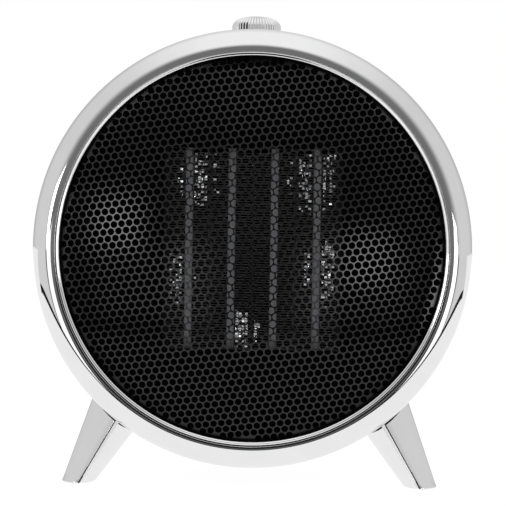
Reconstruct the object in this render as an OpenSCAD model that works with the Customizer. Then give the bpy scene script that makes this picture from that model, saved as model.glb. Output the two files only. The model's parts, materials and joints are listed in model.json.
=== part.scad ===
// Small round ceramic fan heater that stands on four splayed legs.
// X runs to the right, the grille faces -Y and Z points up from the floor.
// The origin is on the floor under the middle of the heater.

/* [Drum] */
// Height of the drum's axis above the floor
axis_h = 127.6; // [126:0.2:150]
// Depth from the front of the ring to the back of the cover
body_depth = 118; // [117:1:140]
// Thickness of the drum's rolled sheet
shell_t = 1.2; // [0.8:0.1:1.6]
// Depth of the back cover's rim behind the drum
cover_rim = 10; // [9.5:0.5:11]
// Wall of the back cover
cover_t = 2.5; // [2:0.1:3]
// Corner radius of the back cover
cover_corner_r = 9; // [6:0.5:9.5]

/* [Front ring] */
// Outer diameter of the ring
ring_d = 228; // [224:1:244]
// Wall of the ring
ring_t = 2.4; // [2:0.1:2.6]
// Clear opening inside the ring's bead
ring_open_d = 204; // [200:1:205]
// Depth from the ring's front to the bead that holds the grille
ring_recess = 9.5; // [8:0.5:11]
// Width of the bead round the opening
bead_w = 1.6; // [1.2:0.1:2]
// Rounding of the ring's inner edge
lip_r = 0.8; // [0.5:0.1:1.2]
// Depth of the ring's skirt over the drum
skirt_depth = 25; // [20:0.5:25]

/* [Grille] */
// Radius of the grille's dome
dome_r = 370; // [340:5:420]
// Thickness of the grille's sheet
grille_t = 0.8; // [0.6:0.1:1]
// Spacing of the punched holes
hole_pitch = 8.2; // [7.4:0.2:12]
// Diameter of the punched holes
hole_d = 6.5; // [4:0.1:6.6]
// Plain border between the holes and the bead
hole_border = 2; // [1.5:0.5:6]
// Turn of the rows of holes from level
hole_turn = 7.5; // [0:0.5:30]

/* [Heating block] */
// Distance from the ring's front to the block
block_setback = 22; // [21:0.5:24]
// Height of the fins
block_h = 105; // [90:1:110]
// Depth of the fins from front to back
fin_depth = 18; // [14:0.5:20]
// Spacing of the four bars
bar_spacing = 22.5; // [20:0.5:23]
// Thickness of a bar
bar_t = 3.8; // [3.2:0.1:5]
// Depth of a bar from front to back
bar_depth = 15; // [12:0.5:15]
// Wall of a bar
bar_wall = 0.5; // [0.4:0.05:0.6]
// Thickness of a ceramic stone
stone_t = 2.2; // [1.6:0.1:2.2]
// Length of a ceramic stone
stone_l = 24; // [18:1:25]
// Number of stones in a bar
stone_count = 4; // [1:1:4]
// Spacing of the folds of a fin
fin_pitch = 3; // [2.4:0.1:4]
// Thickness of the fin strip
fin_t = 0.3; // [0.2:0.05:0.5]
// Thickness of the plates between the bars
divider_t = 1; // [0.6:0.1:1.5]
// Thickness of the block's side plates
side_t = 2.5; // [2:0.1:3]
// Height of the block's end caps
cap_h = 7; // [6:0.5:8]

/* [Air path] */
// Thickness of the baffle and of the fan plate
plate_t = 2; // [1.6:0.1:2.4]
// Length of the square duct between the two plates
duct_len = 34; // [33:0.5:36]
// Wall of the duct
duct_t = 2; // [1.6:0.1:2.4]
// Inner radius of the fan's housing
fan_house_r = 47; // [44:0.5:50]
// Wall of the fan's housing
fan_house_t = 2; // [1.6:0.1:2.4]
// Length of the fan's housing
fan_house_len = 26; // [25:0.5:28]
// Gap between the blade tips and the housing
tip_gap = 1.5; // [1:0.1:3]
// Radius of the fan's hub
hub_r = 15; // [13:0.5:16]
// Length of the fan's hub
hub_len = 15; // [12:0.5:16]
// Number of fan blades
blade_count = 7; // [3:1:8]
// Thickness of a blade
blade_t = 1.4; // [1:0.1:2]
// Chord of a blade
blade_chord = 20; // [16:0.5:21]
// Pitch of a blade from the plane of the fan
blade_angle = 34; // [25:1:38]

/* [Motor] */
// Radius of the motor's shaft
shaft_r = 2; // [1.5:0.1:2.5]
// Thickness of the stack of laminations
stator_t = 16; // [12:0.5:18]
// Width of the stack
stator_w = 50; // [48:1:56]
// Radius of the rotor
rotor_r = 12.8; // [11:0.1:13.2]
// Gap between the rotor and the stack
rotor_gap = 0.6; // [0.3:0.1:0.8]
// Distance of the long motor screws from the shaft
motor_screw_x = 19; // [18.5:0.1:20]
// Winding height over the core
coil_build = 5.5; // [4:0.5:5.5]

/* [Legs] */
// Angle of a leg's top from the bottom of the drum
leg_at = 39.6; // [36:0.2:42]
// Outward lean of a leg
leg_splay = 28; // [20:1:32]
// Lean of a leg towards the front or the back
leg_rake = 10; // [0:1:12]
// Diameter of a leg at the drum
leg_top_d = 31.2; // [24:0.2:31.4]
// Diameter of a leg at the floor
leg_foot_d = 15.6; // [13:0.2:22]
// Distance of the front legs behind the ring's front
leg_front_z = 43; // [42.5:0.1:43.2]
// Distance of the back legs behind the ring's front
leg_back_z = 86; // [76:1:91]
// Diameter of a foot pad
pad_d = 10; // [7:0.5:11]
// How far a foot pad stands out of its leg
pad_out = 0.4; // [0.2:0.1:1]

/* [Control] */
// Diameter of the knob
knob_d = 26.8; // [24:0.2:30]
// Height of the knob
knob_h = 14; // [13.6:0.2:18]
// Radius of the knob's shoulder
knob_shoulder_r = 9.1; // [6:0.1:9.5]
// Number of grooves round the knob
groove_count = 48; // [24:4:60]
// Radius of a groove
groove_r = 0.55; // [0.3:0.05:0.6]
// Distance of the knob behind the ring's front
knob_z = 63; // [62.5:0.5:70]
// Radius of the control's spindle
spindle_r = 3; // [2.5:0.1:3.2]

/* [Cord inlet] */
// Radius of the bore for the cord
inlet_r = 3.6; // [3:0.1:4.2]
// Radius of the gland's barrel
gland_r = 6; // [5.2:0.1:6.5]
// Distance of the inlet below the drum's axis
inlet_drop = 88; // [86:0.5:89]

/* [Fasteners and gaps] */
// Radius of the case screws
screw_r = 1.5; // [1.2:0.1:1.7]
// Gap round a screw in its hole
screw_gap = 0.1; // [0.05:0.05:0.3]
// Gap between parts that slide together
slip_gap = 0.2; // [0.1:0.05:0.3]
// Gap round turning shafts
turn_gap = 0.05; // [0.03:0.01:0.08]

/* [Hidden] */

// Radii of the ring, the drum and the plates inside it
ring_r = ring_d / 2;
ring_open_r = ring_open_d / 2;
bead_r = bead_w / 2;
ring_wall_r = ring_open_r + bead_w;
crown_centre_r = ring_wall_r + lip_r;
crown_r = ring_r - crown_centre_r;
shell_r = ring_r - ring_t - slip_gap;
shell_in_r = shell_r - shell_t;
shoulder_w = shell_t + slip_gap;
inner_plate_r = shell_in_r - 0.5;

// Levels along the drum's axis, counted from the ring's front, minus to the back
seat_z = -(ring_recess + bead_w);
baffle_front_z = seat_z - grille_t;
baffle_back_z = baffle_front_z - plate_t;
shell_front_z = baffle_back_z - 0.6;
plate_front_z = baffle_back_z - duct_len;
plate_back_z = plate_front_z - plate_t;
shell_back_z = -(body_depth - cover_rim);
ring_screw_z = (shell_front_z - skirt_depth) / 2;
cover_in_z = -(body_depth - cover_t);
house_back_z = plate_back_z - fan_house_len;
spider_t = 3;
spider_back_z = house_back_z - spider_t;

// The grille's dome
dome_foot_r = ring_open_r - 0.3;
dome_centre_z = seat_z - sqrt(dome_r * dome_r - dome_foot_r * dome_foot_r);
dome_out = max(dome_centre_z + dome_r, 0);
gland_flange_t = 2;
ring_front_y = dome_out - (dome_out + body_depth + gland_flange_t) / 2;

// The heating block
block_back_z = -(block_setback + fin_depth);
block_mid_z = -(block_setback + fin_depth / 2);
unit_count = 4;
fin_w = (bar_spacing - bar_t - divider_t) / 2;
fins_w = unit_count * bar_spacing - divider_t;
block_w = fins_w + 2 * side_t;
cap_depth = fin_depth + 3;
bar_end = 3;
block_gap = 0.3;
block_screw_l = 8;
duct_in_w = block_w + 2 * block_gap;
duct_in_h = block_h + 2 * cap_h + 2 * block_gap;
duct_out_w = duct_in_w + 2 * duct_t;
duct_out_h = duct_in_h + 2 * duct_t;
duct_top_y = duct_out_h / 2;
stone_gap = 0.8;
tab_t = 0.8;
tab_w = 6.3;
tab_out = 10;
stones_h = stone_count * (stone_l + stone_gap) - stone_gap;
tab_low_y = max(block_h / 2 - 0.5, stones_h / 2 + stone_gap);
tab_top_y = duct_top_y + tab_out;
ear_w = 9;
ear_y = 36;
ear_t = 4;

// The fan and its motor
fan_r = fan_house_r - tip_gap;
hub_front_z = plate_back_z - 3;
hub_back_z = hub_front_z - hub_len;
bracket_t = 2;
foot_len = 4;
bracket_back_z = spider_back_z - bracket_t;
stack_front_z = bracket_back_z - foot_len;
stack_back_z = stack_front_z - stator_t;
back_bracket_z = stack_back_z - foot_len;
motor_end_z = back_bracket_z - bracket_t;
bush_r = 4;
bush_len = 5;
stack_top = 20;
stack_bottom = -44;
core_h = 10;
window_top = -17.5;
coil_w = stator_w / 2 + 2;

// The four legs
leg_root_x = shell_r * sin(leg_at);
leg_root_h = axis_h - shell_r * cos(leg_at);
leg_screw_l = 13;

// The posts that carry the back cover
post_r = 4.5;
post_at = (shell_r - cover_corner_r - post_r - 0.3) * sin(45);

// The control on top of the drum
knob_gap = 0.8;
bush_out = 5;
switch_w = 24;
switch_h = 18;
neck_r = 4.5;
collar_t = 1.4;
switch_top = -shell_t - 0.3 - collar_t;
spindle_in = 8;
spindle_out = knob_h - 3;

// The tilt switch behind the fan plate
tilt_x = -36;
tilt_pin_y = -64;
tilt_arm = 18;
tilt_weight_r = 7;
tilt_range = 20;
tilt_pin_r = 1.5;

// The terminal block on the fan plate
terminal_w = 32;
terminal_h = 16;
terminal_t = 12;
terminal_y = -84;
terminal_x = 9;

// Routes of the inner wires, seen from the front as right, up and forward
wire_r = 1.1;
line_route = [
  [9, -81, -56], [9, -78, -56], [9, -74.5, -56], [14, -71.5, -56], [32, -74, -56], [56, -67, -55],
  [78, -40, -55], [86, -8, -55], [84, 26, -55], [68, 56, -55], [46, 76, -56], [28, 88, -58],
  [12.7, 96, -62]
];
neutral_route = [
  [-9, -81, -56], [-9, -78, -56], [-9, -74, -56], [-4, -68, -57], [6, -66, -59], [24, -66, -59],
  [52, -58, -58], [71, -36, -58], [79, -8, -58], [77, 24, -58], [62, 51, -58], [42, 70, -60],
  [27, 82, -64], [12.7, 92, -68]
];
heater_left_route = [
  [-1.5 * bar_spacing, tab_top_y + 0.2, block_mid_z], [-32, tab_top_y + 8, -32], [-22, 86, -38],
  [-8, 84, -44], [-3, 82, -48], [-3, 82.5, -54], [-5, 86, -58], [-6, 90, -60]
];
heater_right_route = [
  [1.5 * bar_spacing, tab_top_y + 0.2, block_mid_z], [32, tab_top_y + 8, -32], [22, 86, -38],
  [8, 84, -44], [3, 82, -48], [3, 82.5, -54], [5, 86, -58], [6, 90, -60]
];
motor_route = [
  [-12.7, 96, -66], [-26, 90, -66], [-48, 72, -68], [-66, 44, -72], [-72, 10, -80], [-64, -20, -94],
  [-44, -34, -104], [-28, -38, -106], [-13.9, -38, -105]
];

// Places the drum's own frame, which looks out through the ring
module in_drum() {
  translate([0, ring_front_y, axis_h]) rotate([90, 0, 0]) children();
}

module tube(outer, inner, from_z, to_z) {
  rotate_extrude($fn = 180)
    translate([inner, from_z]) square([outer - inner, to_z - from_z]);
}

module rod(r, from_z, to_z) {
  translate([0, 0, from_z]) cylinder(r = r, h = to_z - from_z, $fn = r > 20 ? 180 : 48);
}

// A box given by its middle and its size
module block(middle, size) {
  translate(middle) cube(size, center = true);
}

module ring_profile() {
  intersection() {
    translate([crown_centre_r, -crown_r]) difference() {
      circle(r = crown_r, $fn = 120);
      circle(r = crown_r - ring_t, $fn = 120);
    }
    translate([crown_centre_r, -crown_r]) square([crown_r + 1, crown_r + 1]);
  }
  translate([crown_centre_r, -lip_r]) circle(r = lip_r, $fn = 32);
  translate([ring_wall_r, seat_z]) square([ring_t, -lip_r - seat_z]);
  translate([ring_open_r + bead_r, seat_z + bead_r]) circle(r = bead_r, $fn = 32);
  translate([ring_open_r, seat_z]) square([bead_w + 0.1, bead_r]);
  translate([ring_open_r + bead_r, seat_z]) square([bead_r + 0.1, bead_w]);
  translate([ring_r - ring_t, -skirt_depth]) square([ring_t, skirt_depth - crown_r]);
  translate([ring_r - ring_t - shoulder_w, shell_front_z]) square([shoulder_w + 0.1, 1.5]);
}

module ring_screw_hole() {
  translate([0, 0, ring_screw_z]) rotate([90, 0, 0]) rod(screw_r + screw_gap, shell_in_r - 3, ring_r + 3);
}

module front_ring() {
  color("gainsboro") in_drum() difference() {
    rotate_extrude($fn = 240) ring_profile();
    ring_screw_hole();
  }
}

// One punch on the dome's own radius, so that its edge is a true circle
module punch() {
  difference() {
    cylinder(d = hole_d, h = dome_r + 1, $fn = 36);
    translate([0, 0, -1]) cylinder(d = hole_d + 1, h = dome_r - 3, $fn = 36);
  }
}

module punches() {
  reach = dome_foot_r - hole_border - hole_d / 2;
  row_step = hole_pitch * sin(60);
  rows = floor(reach / row_step);
  across = ceil(reach / hole_pitch);
  for (row = [-rows:rows], i = [-across:across]) {
    x = (i + abs(row % 2) / 2) * hole_pitch;
    y = row * row_step;
    r = norm([x, y]);
    if (r < reach)
      rotate([0, 0, atan2(y, x)]) rotate([0, r / dome_r * 180 / PI, 0]) punch();
  }
}

module dome_sheet() {
  intersection() {
    difference() {
      sphere(r = dome_r, $fn = 240);
      sphere(r = dome_r - grille_t, $fn = 240);
    }
    rod(dome_foot_r, seat_z - grille_t - dome_centre_z, dome_r + 1);
  }
}

module grille() {
  color("black") in_drum() {
    translate([0, 0, dome_centre_z]) difference() {
      dome_sheet();
      rotate([0, 0, hole_turn]) punches();
    }
    tube(ring_wall_r + ring_t, dome_foot_r - 1, seat_z - grille_t, seat_z);
  }
}

module leg_screw_line(side, from_front) {
  translate([0, 0, -from_front]) rotate([90, 0, side * leg_at]) children();
}

module drum_shell() {
  color("dimgray") in_drum() difference() {
    tube(shell_r, shell_in_r, shell_back_z, shell_front_z);
    ring_screw_hole();
    translate([0, 0, -knob_z]) rotate([-90, 0, 0]) rod(neck_r + slip_gap, shell_in_r - 5, shell_r + 5);
    for (side = [-1, 1], z = [leg_front_z, leg_back_z])
      leg_screw_line(side, z) rod(screw_r + screw_gap, shell_in_r - 5, shell_r + 5);
  }
}

module cover_profile() {
  corner = [shell_r - cover_corner_r, -(body_depth - cover_corner_r)];
  intersection() {
    translate(corner) difference() {
      circle(r = cover_corner_r, $fn = 120);
      circle(r = cover_corner_r - cover_t, $fn = 120);
    }
    translate([corner[0], corner[1] - cover_corner_r - 1])
      square([cover_corner_r + 1, cover_corner_r + 1]);
  }
  translate([shell_r - cover_t, corner[1]]) square([cover_t, shell_back_z - corner[1]]);
  translate([0, -body_depth]) square([corner[0], cover_t]);
  translate([shell_in_r - slip_gap - cover_t, shell_back_z - 1]) square([cover_t, 6]);
}

// Rings of curved slots let the fan draw its air
module cover_slots() {
  slot_w = 4;
  slot_step = 8;
  rib = 5;
  for (r = [16:slot_step:72]) {
    count = max(3, round(2 * PI * r / 48));
    sweep = 360 / count - rib / r * 180 / PI;
    for (k = [0:count - 1])
      rotate([0, 0, (k + 0.5) * 360 / count]) rotate_extrude(angle = sweep, $fn = 90)
        translate([r - slot_w / 2, -body_depth - 1]) square([slot_w, cover_t + 2]);
  }
}

module at_posts() {
  for (x = [-post_at, post_at], y = [-post_at, post_at]) translate([x, y, 0]) children();
}

module back_cover() {
  color("dimgray") in_drum() difference() {
    rotate_extrude($fn = 240) cover_profile();
    cover_slots();
    at_posts() rod(screw_r + screw_gap, -body_depth - 1, cover_in_z + 1);
    at_posts() rod(3.6, -body_depth - 1, -body_depth + 1.3);
    translate([0, -inlet_drop, 0]) rod(gland_r + slip_gap, -body_depth - 1, cover_in_z + 1);
  }
}

// A pan-head screw with a cross recess, its head up from z = 0
module screw(len, head_r, head_h) {
  difference() {
    union() {
      rod(head_r, 0, head_h);
      rod(screw_r, -len, 0.1);
    }
    block([0, 0, head_h], [head_r * 1.1, 0.7, 1]);
    block([0, 0, head_h], [0.7, head_r * 1.1, 1]);
  }
}

module ring_screw() {
  color("silver") in_drum()
    translate([0, -ring_r, ring_screw_z]) rotate([90, 0, 0]) screw(ring_t + slip_gap + shell_t + 2, 3.1, 1.2);
}

module cover_screws() {
  color("silver") in_drum() at_posts()
    translate([0, 0, -body_depth + 1.3]) rotate([180, 0, 0]) screw(12, 3.3, 1.2);
}

module cord_gland() {
  color("black") in_drum() translate([0, -inlet_drop, 0]) {
    tube(gland_r, inlet_r, -body_depth - gland_flange_t, -body_depth + 12);
    tube(gland_r + 3, inlet_r, -body_depth - gland_flange_t, -body_depth);
  }
}

module gland_nut() {
  color("black") in_drum() translate([0, -inlet_drop, cover_in_z]) difference() {
    cylinder(r = gland_r + 3, h = 3, $fn = 6);
    rod(gland_r + turn_gap, -1, 4);
  }
}

function leg_up(side, way) = [-side * tan(leg_splay), -way * tan(leg_rake), 1];

function leg_foot(side, way, from_front) =
  [side * leg_root_x, ring_front_y + from_front, leg_root_h] - leg_root_h * leg_up(side, way);

module leg(side, way, from_front) {
  up = leg_up(side, way);
  foot = leg_foot(side, way, from_front);
  len = leg_root_h * norm(up);
  grow = (leg_top_d - leg_foot_d) / 2 / len;
  below = 8;
  above = 16;
  color("gainsboro") difference() {
    // The cone's seam is turned to its side, clear of the cuts through its ends
    translate(foot) rotate([0, acos(1 / norm(up)), atan2(up[1], up[0])]) rotate([0, 0, 90])
      translate([0, 0, -below])
        cylinder(r1 = leg_foot_d / 2 - below * grow, r2 = leg_top_d / 2 + above * grow,
          h = below + len + above, $fn = 120);
    block([0, 0, pad_out - 50], [1000, 1000, 100]);
    in_drum() rod(shell_r, -body_depth, 0);
    translate([foot[0], foot[1], 0]) rod((pad_d + slip_gap) / 2, -1, pad_out + 1.2);
    in_drum() leg_screw_line(side, from_front) rod(screw_r + screw_gap, shell_r - 5, shell_r + 15);
  }
}

module leg_front_left() { leg(-1, -1, leg_front_z); }
module leg_front_right() { leg(1, -1, leg_front_z); }
module leg_back_left() { leg(-1, 1, leg_back_z); }
module leg_back_right() { leg(1, 1, leg_back_z); }

module foot_pads() {
  color("gray") for (side = [-1, 1]) {
    front = leg_foot(side, -1, leg_front_z);
    back = leg_foot(side, 1, leg_back_z);
    translate([front[0], front[1], 0]) rod(pad_d / 2, 0, pad_out + 1.2);
    translate([back[0], back[1], 0]) rod(pad_d / 2, 0, pad_out + 1.2);
  }
}

module leg_screws() {
  color("silver") in_drum() for (side = [-1, 1], z = [leg_front_z, leg_back_z])
    leg_screw_line(side, z) translate([0, 0, shell_in_r - 0.1]) rotate([180, 0, 0])
      screw(leg_screw_l, 3.2, 2.2);
}

module baffle_duct() {
  plate_mid = (baffle_front_z + baffle_back_z) / 2;
  duct_mid = (baffle_back_z + plate_front_z) / 2;
  color("black") in_drum() difference() {
    union() {
      rod(inner_plate_r, baffle_back_z, baffle_front_z);
      block([0, 0, duct_mid], [duct_out_w, duct_out_h, duct_len]);
      for (x = [-1, 1], y = [-ear_y, ear_y])
        block([x * (duct_out_w + ear_w) / 2, y, plate_front_z + ear_t / 2], [ear_w + 0.2, ear_w, ear_t]);
    }
    block([0, 0, plate_mid], [block_w, block_h, plate_t + 2]);
    block([0, 0, duct_mid - 0.5], [duct_in_w, duct_in_h, duct_len + 1]);
    at_ears() rod(screw_r + screw_gap, plate_front_z - 1, plate_front_z + ear_t + 1);
    for (i = [1:unit_count])
      block([bar_x(i), duct_top_y - duct_t / 2, block_mid_z], [tab_t + 0.6, duct_t + 1, tab_w + 0.6]);
    for (x = [-1, 1], y = [-1, 1])
      translate([0, y * (block_h + cap_h) / 2, block_mid_z]) rotate([0, x * 90, 0])
        rod(screw_r + screw_gap, duct_in_w / 2 - 1, duct_out_w / 2 + 1);
  }
}

module at_ears() {
  for (x = [-1, 1], y = [-ear_y, ear_y]) translate([x * (duct_out_w + ear_w) / 2, y, 0]) children();
}

module duct_screws() {
  color("silver") in_drum() at_ears()
    translate([0, 0, plate_front_z + ear_t]) screw(ear_t + plate_t + 1, 3, 2);
}

module fan_housing() {
  wire_hole = [0, 82];
  color("darkslategray") in_drum() difference() {
    union() {
      rod(inner_plate_r, plate_back_z, plate_front_z);
      rod(fan_house_r + fan_house_t, spider_back_z, plate_back_z);
      at_posts() rod(post_r, cover_in_z, plate_back_z);
    }
    rod(fan_house_r, house_back_z, plate_front_z + 1);
    difference() {
      rod(fan_house_r, spider_back_z - 1, house_back_z + 1);
      rod(motor_screw_x + 5, spider_back_z - 2, house_back_z + 2);
      for (a = [45, 135])
        rotate([0, 0, a]) block([0, 0, house_back_z], [4 * fan_house_r, 7, 20]);
    }
    rod(bush_r + 2, spider_back_z - 1, house_back_z + 1);
    at_motor_screws() rod(screw_r + screw_gap, spider_back_z - 1, house_back_z + 1);
    at_posts() rod(screw_r + screw_gap, cover_in_z - 1, cover_in_z + 14);
    at_ears() rod(screw_r + screw_gap, plate_back_z - 1, plate_front_z + 1);
    translate(wire_hole) rod(7, plate_back_z - 1, plate_front_z + 1);
  }
}

function bar_x(i) = (i - (unit_count + 1) / 2) * bar_spacing;

module end_cap(up) {
  pilot = 8;
  color("beige") in_drum() translate([0, up * (block_h + cap_h) / 2, block_mid_z]) difference() {
    cube([block_w, cap_h, cap_depth], center = true);
    for (i = [1:unit_count]) {
      block([bar_x(i), -up * (cap_h - bar_end) / 2, 0], [bar_t, bar_end, bar_depth]);
      if (up > 0) block([bar_x(i), 0, 0], [tab_t + 0.6, cap_h + 1, tab_w + 0.6]);
    }
    for (x = [-1, 1]) rotate([0, x * 90, 0]) rod(screw_r + screw_gap, block_w / 2 - pilot, block_w / 2 + 1);
  }
}

module end_cap_top() { end_cap(1); }
module end_cap_bottom() { end_cap(-1); }

module side_plate(side) {
  color("silver") in_drum()
    block([side * (fins_w + side_t) / 2, 0, block_mid_z], [side_t, block_h, fin_depth]);
}

module side_plate_left() { side_plate(-1); }
module side_plate_right() { side_plate(1); }

module bar(i) {
  h = block_h + 2 * bar_end;
  color("silver") in_drum() translate([bar_x(i), 0, block_mid_z]) difference() {
    cube([bar_t, h, bar_depth], center = true);
    cube([bar_t - 2 * bar_wall, h + 1, bar_depth - 2 * bar_wall], center = true);
  }
}

module bar_1() { bar(1); }
module bar_2() { bar(2); }
module bar_3() { bar(3); }
module bar_4() { bar(4); }

module ceramic_stones() {
  step = stone_l + stone_gap;
  color("linen") in_drum()
    for (i = [1:unit_count], k = [0:stone_count - 1])
      block([bar_x(i), (k - (stone_count - 1) / 2) * step, block_mid_z],
        [stone_t, stone_l, bar_depth - 2 * bar_wall - 1]);
}

// A strip folded to and fro, its crests flat against the plates at each side
module fin(i) {
  folds = 2 * floor((block_h - fin_t) / fin_pitch);
  step = (block_h - fin_t) / folds;
  side = i % 2 == 1 ? -1 : 1;
  x = bar_x(ceil(i / 2)) + side * (bar_t + fin_w) / 2;
  crest = fin_w / 2;
  inner = crest - fin_w * fin_t / 2 / step;
  half = [0, fin_t / 2];
  level = [for (k = [0:folds]) (k - folds / 2) * step];
  right = [for (k = [1:folds - 1]) each k % 2 == 1
    ? [[crest, level[k]] - half, [crest, level[k]] + half]
    : [[-inner, level[k]]]];
  left = [for (k = [folds:-1:0]) each k % 2 == 1
    ? [[inner, level[k]]]
    : [[-crest, level[k]] + half, [-crest, level[k]] - half]];
  color("lightgray") in_drum() translate([x, 0, block_back_z])
    linear_extrude(fin_depth) polygon(concat(right, left));
}

module fin_1() { fin(1); }
module fin_2() { fin(2); }
module fin_3() { fin(3); }
module fin_4() { fin(4); }
module fin_5() { fin(5); }
module fin_6() { fin(6); }
module fin_7() { fin(7); }
module fin_8() { fin(8); }

module divider(i) {
  color("silver") in_drum()
    block([(bar_x(i) + bar_x(i + 1)) / 2, 0, block_mid_z], [divider_t, block_h, fin_depth]);
}

module divider_1() { divider(1); }
module divider_2() { divider(2); }
module divider_3() { divider(3); }

module bar_tabs() {
  color("goldenrod") in_drum() for (i = [1:unit_count])
    difference() {
      block([bar_x(i), (tab_low_y + tab_top_y) / 2, block_mid_z], [tab_t, tab_top_y - tab_low_y, tab_w]);
      translate([bar_x(i), tab_top_y - 3, block_mid_z]) rotate([0, 90, 0]) rod(0.9, -1, 1);
    }
}

module block_screws() {
  color("silver") in_drum()
    for (x = [-1, 1], y = [-1, 1])
      translate([x * duct_out_w / 2, y * (block_h + cap_h) / 2, block_mid_z])
        rotate([0, x * 90, 0]) screw(block_screw_l, 3, 2);
}

// A blade with an even camber, cut from a thin round shell
module blade() {
  camber_r = 42;
  reach = fan_r - hub_r + 4;
  rotate([90 - blade_angle, 0, 0]) intersection() {
    translate([hub_r - 1, 0, -camber_r]) rotate([0, 90, 0]) difference() {
      cylinder(r = camber_r, h = reach, $fn = 120);
      translate([0, 0, -1]) cylinder(r = camber_r - blade_t, h = reach + 2, $fn = 120);
    }
    block([hub_r + reach / 2, 0, 0], [reach + 4, blade_chord, 12]);
  }
}

module fan_impeller() {
  mid = (hub_front_z + hub_back_z) / 2;
  color("black") in_drum() difference() {
    union() {
      difference() {
        rod(hub_r, hub_back_z, hub_front_z);
        rod(hub_r - 2, hub_back_z - 1, hub_front_z - 2);
      }
      rod(5, hub_back_z, hub_front_z);
      intersection() {
        for (k = [1:blade_count])
          rotate([0, 0, k * 360 / blade_count]) translate([0, 0, mid]) blade();
        tube(fan_r, hub_r - 1, hub_back_z - 1, hub_front_z + 1);
      }
    }
    rod(shaft_r + turn_gap, hub_back_z - 1, hub_front_z + 1);
  }
}

module fan_clip() {
  color("silver") in_drum() tube(5, shaft_r + turn_gap, hub_front_z, hub_front_z + 1);
}

module motor_shaft() {
  color("silver") in_drum() rod(shaft_r, motor_end_z - 2.5, hub_front_z + 2);
}

module motor_rotor() {
  color("dimgray") in_drum() tube(rotor_r, shaft_r + turn_gap, stack_back_z - 1, stack_front_z + 1);
}

module at_motor_screws() {
  for (x = [-1, 1]) translate([x * motor_screw_x, 0, 0]) children();
}

module motor_stack() {
  color("slategray") in_drum() difference() {
    translate([-stator_w / 2, stack_bottom, stack_back_z])
      cube([stator_w, stack_top - stack_bottom, stator_t]);
    rod(rotor_r + rotor_gap, stack_back_z - 1, stack_front_z + 1);
    at_motor_screws() rod(screw_r + screw_gap, stack_back_z - 1, stack_front_z + 1);
    translate([-coil_w / 2 - 0.8, stack_bottom + core_h, stack_back_z - 1])
      cube([coil_w + 1.6, window_top - stack_bottom - core_h, stator_t + 2]);
  }
}

module motor_coil() {
  corner = 3;
  core = [core_h + 0.4, stator_t + 0.4];
  outer = core + [2 * coil_build, 2 * coil_build] - [2 * corner, 2 * corner];
  middle = [0, stack_bottom + core_h / 2, (stack_front_z + stack_back_z) / 2];
  color("goldenrod") in_drum() translate(middle) rotate([90, 0, 90])
    linear_extrude(coil_w, center = true) difference() {
      union() {
        square(outer + [2 * corner, 0], center = true);
        square(outer + [0, 2 * corner], center = true);
        for (x = [-1, 1], y = [-1, 1])
          translate([x * outer[0] / 2, y * outer[1] / 2]) circle(r = corner, $fn = 32);
      }
      square(core, center = true);
    }
}

module motor_bracket(plate_z, foot_z) {
  low = min(plate_z, foot_z);
  color("silver") in_drum() difference() {
    union() {
      block([0, 0, plate_z + bracket_t / 2], [2 * motor_screw_x, 12, bracket_t]);
      at_motor_screws() rod(6, plate_z, plate_z + bracket_t);
      at_motor_screws() rod(4, foot_z, foot_z + foot_len);
    }
    rod(bush_r + turn_gap, plate_z - 1, plate_z + bracket_t + 1);
    at_motor_screws() rod(screw_r + screw_gap, low - 1, low + bracket_t + foot_len + 1);
  }
}

module motor_bracket_front() { motor_bracket(bracket_back_z, stack_front_z); }
module motor_bracket_back() { motor_bracket(motor_end_z, back_bracket_z); }

module motor_bushes() {
  color("peru") in_drum() for (z = [bracket_back_z, motor_end_z])
    tube(bush_r, shaft_r + turn_gap, z + (bracket_t - bush_len) / 2, z + (bracket_t + bush_len) / 2);
}

module motor_screws() {
  span = house_back_z - motor_end_z;
  color("silver") in_drum() at_motor_screws() {
    translate([0, 0, motor_end_z]) rotate([180, 0, 0]) screw(span + 3, 3, 2);
    translate([0, 0, house_back_z]) difference() {
      cylinder(r = 3, h = 2.2, $fn = 6);
      rod(screw_r + turn_gap, -1, 4);
    }
  }
}

// Stands a turned part on the drum's top, with z = 0 at the sheet's outside
module on_top() {
  translate([0, ring_front_y + knob_z, axis_h + shell_r]) children();
}

module rotary_switch() {
  color("darkslategray") on_top() difference() {
    union() {
      block([0, 0, switch_top - switch_h / 2], [switch_w, switch_w, switch_h]);
      rod(7, switch_top - 1, switch_top + collar_t);
      rod(neck_r, switch_top, bush_out);
    }
    rod(spindle_r + turn_gap, switch_top - spindle_in - 0.5, bush_out + 1);
  }
}

module switch_nut() {
  color("silver") on_top() difference() {
    cylinder(r = 7.5, h = 3, $fn = 6);
    rod(neck_r + turn_gap, -1, 5);
  }
}

module switch_spindle() {
  flat = spindle_r * 0.6;
  color("silver") on_top() difference() {
    rod(spindle_r, switch_top - spindle_in, spindle_out);
    translate([-spindle_r, flat, bush_out + 0.5]) cube([2 * spindle_r, spindle_r, spindle_out]);
  }
}

module knob_profile() {
  r = knob_d / 2;
  square([r, knob_h - knob_shoulder_r]);
  square([r - knob_shoulder_r, knob_h]);
  intersection() {
    translate([r - knob_shoulder_r, knob_h - knob_shoulder_r]) circle(r = knob_shoulder_r, $fn = 120);
    square([r, knob_h]);
  }
}

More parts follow.
